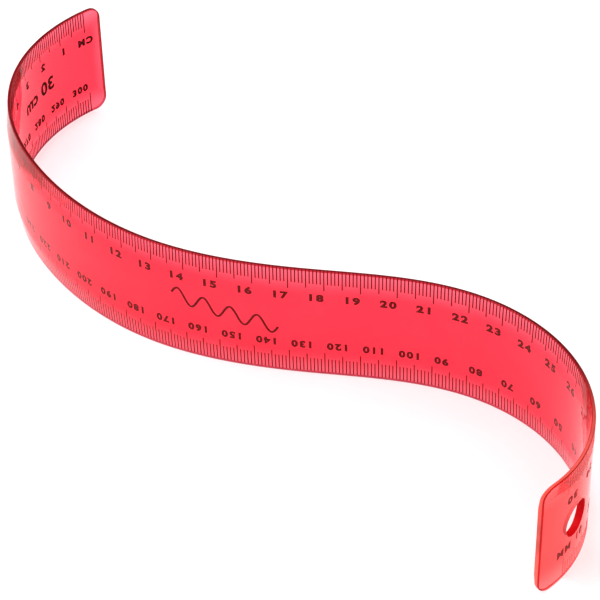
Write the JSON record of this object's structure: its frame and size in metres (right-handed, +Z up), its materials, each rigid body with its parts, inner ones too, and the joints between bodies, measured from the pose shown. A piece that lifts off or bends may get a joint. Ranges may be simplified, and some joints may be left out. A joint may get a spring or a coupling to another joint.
{
  "type": "flexible ruler",
  "caption": "Flexible clear-red plastic ruler with bevelled long edges and a hanging hole, standing on its edge in an S bend that its links can straighten or tighten.",
  "frame": {"origin": "centre of the footprint's bounding box, on the surface that the ruler stands on", "axes": "+Z up across the ruler's width; +X along the axis of the hanging hole, towards the ruler's flat printed back, which is also the longest side of the box; the zero end is at -X"},
  "size_m": [0.22, 0.1184, 0.038],
  "materials": {
    "red_plastic": "smooth translucent red flexible plastic, darker along cut edges",
    "black_ink": "flat black screen print: scales, numerals and unit marks"
  },
  "bodies": {
    "zero_end_link": {"zero_end_link": "red_plastic"},
    "strip_link_02": {"strip_link_02": "red_plastic"},
    "strip_link_03": {"strip_link_03": "red_plastic"},
    "strip_link_04": {"strip_link_04": "red_plastic"},
    "strip_link_05": {"strip_link_05": "red_plastic"},
    "strip_link_06": {"strip_link_06": "red_plastic"},
    "strip_link_07": {"strip_link_07": "red_plastic"},
    "strip_link_08": {"strip_link_08": "red_plastic"},
    "strip_link_09": {"strip_link_09": "red_plastic"},
    "strip_link_10": {"strip_link_10": "red_plastic"},
    "strip_link_11": {"strip_link_11": "red_plastic"},
    "strip_link_12": {"strip_link_12": "red_plastic"},
    "strip_link_13": {"strip_link_13": "red_plastic"},
    "strip_link_14": {"strip_link_14": "red_plastic"},
    "strip_link_15": {"strip_link_15": "red_plastic"},
    "strip_link_16": {"strip_link_16": "red_plastic"},
    "strip_link_17": {"strip_link_17": "red_plastic"},
    "strip_link_18": {"strip_link_18": "red_plastic"},
    "hole_link": {"hole_link": "red_plastic"},
    "hole_end_link": {"hole_end_link": "red_plastic"}
  },
  "joints": [
    {"name": "flex_11", "type": "hinge", "parent": "strip_link_12", "child": "strip_link_11", "pos_m": [0.00993, -0.01814, 0.019], "axis": [0, 0, -1], "range_deg": [-4.1, 6], "stiffness_Nm_per_rad": 0.02},
    {"name": "flex_10", "type": "hinge", "parent": "strip_link_11", "child": "strip_link_10", "pos_m": [-0.00577, -0.02317, 0.019], "axis": [0, 0, -1], "range_deg": [-7.1, 6], "stiffness_Nm_per_rad": 0.02},
    {"name": "flex_09", "type": "hinge", "parent": "strip_link_10", "child": "strip_link_09", "pos_m": [-0.02197, -0.02623, 0.019], "axis": [0, 0, -1], "range_deg": [-9.9, 6], "stiffness_Nm_per_rad": 0.02},
    {"name": "flex_08", "type": "hinge", "parent": "strip_link_09", "child": "strip_link_08", "pos_m": [-0.03845, -0.02647, 0.019], "axis": [0, 0, -1], "range_deg": [-11.1, 6], "stiffness_Nm_per_rad": 0.02},
    {"name": "flex_07", "type": "hinge", "parent": "strip_link_08", "child": "strip_link_07", "pos_m": [-0.05466, -0.02357, 0.019], "axis": [0, 0, -1], "range_deg": [-10.4, 6], "stiffness_Nm_per_rad": 0.02},
    {"name": "flex_06", "type": "hinge", "parent": "strip_link_07", "child": "strip_link_06", "pos_m": [-0.0701, -0.01779, 0.019], "axis": [0, 0, -1], "range_deg": [-9.9, 6], "stiffness_Nm_per_rad": 0.02},
    {"name": "flex_05", "type": "hinge", "parent": "strip_link_06", "child": "strip_link_05", "pos_m": [-0.08428, -0.00941, 0.019], "axis": [0, 0, -1], "range_deg": [-12.1, 6.1], "stiffness_Nm_per_rad": 0.02},
    {"name": "flex_04", "type": "hinge", "parent": "strip_link_05", "child": "strip_link_04", "pos_m": [-0.09638, 0.00175, 0.019], "axis": [0, 0, -1], "range_deg": [-15.5, 7.8], "stiffness_Nm_per_rad": 0.02},
    {"name": "flex_03", "type": "hinge", "parent": "strip_link_04", "child": "strip_link_03", "pos_m": [-0.10504, 0.01572, 0.019], "axis": [0, 0, -1], "range_deg": [-18.4, 9.2], "stiffness_Nm_per_rad": 0.02},
    {"name": "flex_02", "type": "hinge", "parent": "strip_link_03", "child": "strip_link_02", "pos_m": [-0.10887, 0.0317, 0.019], "axis": [0, 0, -1], "range_deg": [-18.7, 9.3], "stiffness_Nm_per_rad": 0.02},
    {"name": "flex_01", "type": "hinge", "parent": "strip_link_02", "child": "zero_end_link", "pos_m": [-0.10738, 0.04806, 0.019], "axis": [0, 0, -1], "range_deg": [-22.2, 11.1], "stiffness_Nm_per_rad": 0.02},
    {"name": "flex_12", "type": "hinge", "parent": "strip_link_12", "child": "strip_link_13", "pos_m": [0.02526, -0.01205, 0.019], "axis": [0, 0, -1], "range_deg": [-1.9, 6], "stiffness_Nm_per_rad": 0.02},
    {"name": "flex_13", "type": "hinge", "parent": "strip_link_13", "child": "strip_link_14", "pos_m": [0.04079, -0.00647, 0.019], "axis": [0, 0, -1], "range_deg": [-8.9, 6], "stiffness_Nm_per_rad": 0.02},
    {"name": "flex_14", "type": "hinge", "parent": "strip_link_14", "child": "strip_link_15", "pos_m": [0.05696, -0.00337, 0.019], "axis": [0, 0, -1], "range_deg": [-15.2, 7.6], "stiffness_Nm_per_rad": 0.02},
    {"name": "flex_15", "type": "hinge", "parent": "strip_link_15", "child": "strip_link_16", "pos_m": [0.07336, -0.00455, 0.019], "axis": [0, 0, -1], "range_deg": [-17.8, 8.9], "stiffness_Nm_per_rad": 0.02},
    {"name": "flex_16", "type": "hinge", "parent": "strip_link_16", "child": "strip_link_17", "pos_m": [0.0886, -0.01067, 0.019], "axis": [0, 0, -1], "range_deg": [-19.9, 9.9], "stiffness_Nm_per_rad": 0.02},
    {"name": "flex_17", "type": "hinge", "parent": "strip_link_17", "child": "strip_link_18", "pos_m": [0.10084, -0.0216, 0.019], "axis": [0, 0, -1], "range_deg": [-22.4, 11.2], "stiffness_Nm_per_rad": 0.02},
    {"name": "flex_18", "type": "hinge", "parent": "strip_link_18", "child": "hole_link", "pos_m": [0.10798, -0.03634, 0.019], "axis": [0, 0, -1], "range_deg": [-25.6, 12.8], "stiffness_Nm_per_rad": 0.02},
    {"name": "flex_19", "type": "hinge", "parent": "hole_link", "child": "hole_end_link", "pos_m": [0.10806, -0.05269, 0.019], "axis": [0, 0, -1], "range_deg": [-25.6, 12.8], "stiffness_Nm_per_rad": 0.004}
  ]
}
